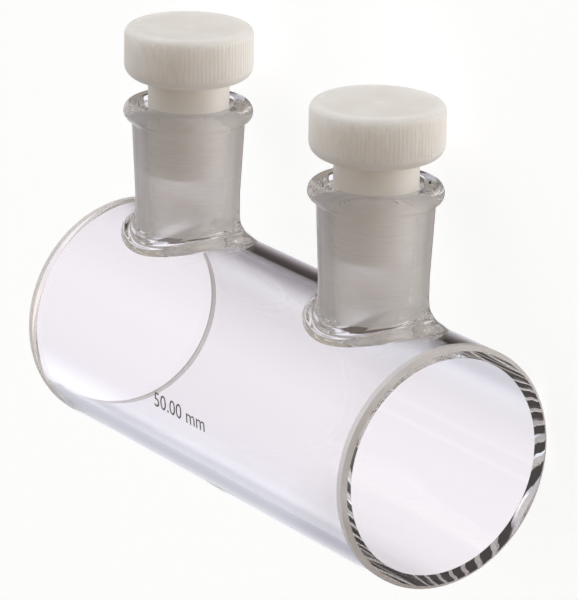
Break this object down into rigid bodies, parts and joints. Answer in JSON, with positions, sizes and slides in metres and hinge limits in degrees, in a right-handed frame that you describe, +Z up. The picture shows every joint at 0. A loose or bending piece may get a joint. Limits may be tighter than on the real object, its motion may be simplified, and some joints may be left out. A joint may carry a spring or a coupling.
{
  "type": "cuvette",
  "caption": "Cylindrical quartz absorption cell with flat polished end windows, blown filling necks and knurled tapered plastic stoppers, lying at rest.",
  "frame": {"origin": "middle of the footprint, on the surface that the cell lies on", "axes": "+X along the tube to the front window, +Y the way the necks point, +Z up"},
  "size_m": [0.052, 0.0418, 0.022],
  "materials": {
    "quartz": "clear, fire-polished outside, finely ground in the sockets",
    "window_quartz": "optically polished faces, ground rims",
    "milky_plastic": "milky, slightly waxy, finely knurled on the side"
  },
  "bodies": {
    "cell": {"cell_body": "quartz", "front_window": "window_quartz", "rear_window": "window_quartz"},
    "front_plug": {"front_stopper": "milky_plastic"},
    "rear_plug": {"rear_stopper": "milky_plastic"}
  },
  "joints": [
    {"name": "front_stopper_lift", "type": "slide", "parent": "cell", "child": "front_plug", "axis": [0, 0.9844, -0.176], "range_m": [0, 0.012]},
    {"name": "rear_stopper_lift", "type": "slide", "parent": "cell", "child": "rear_plug", "axis": [0, 0.9844, -0.176], "range_m": [0, 0.012]}
  ]
}
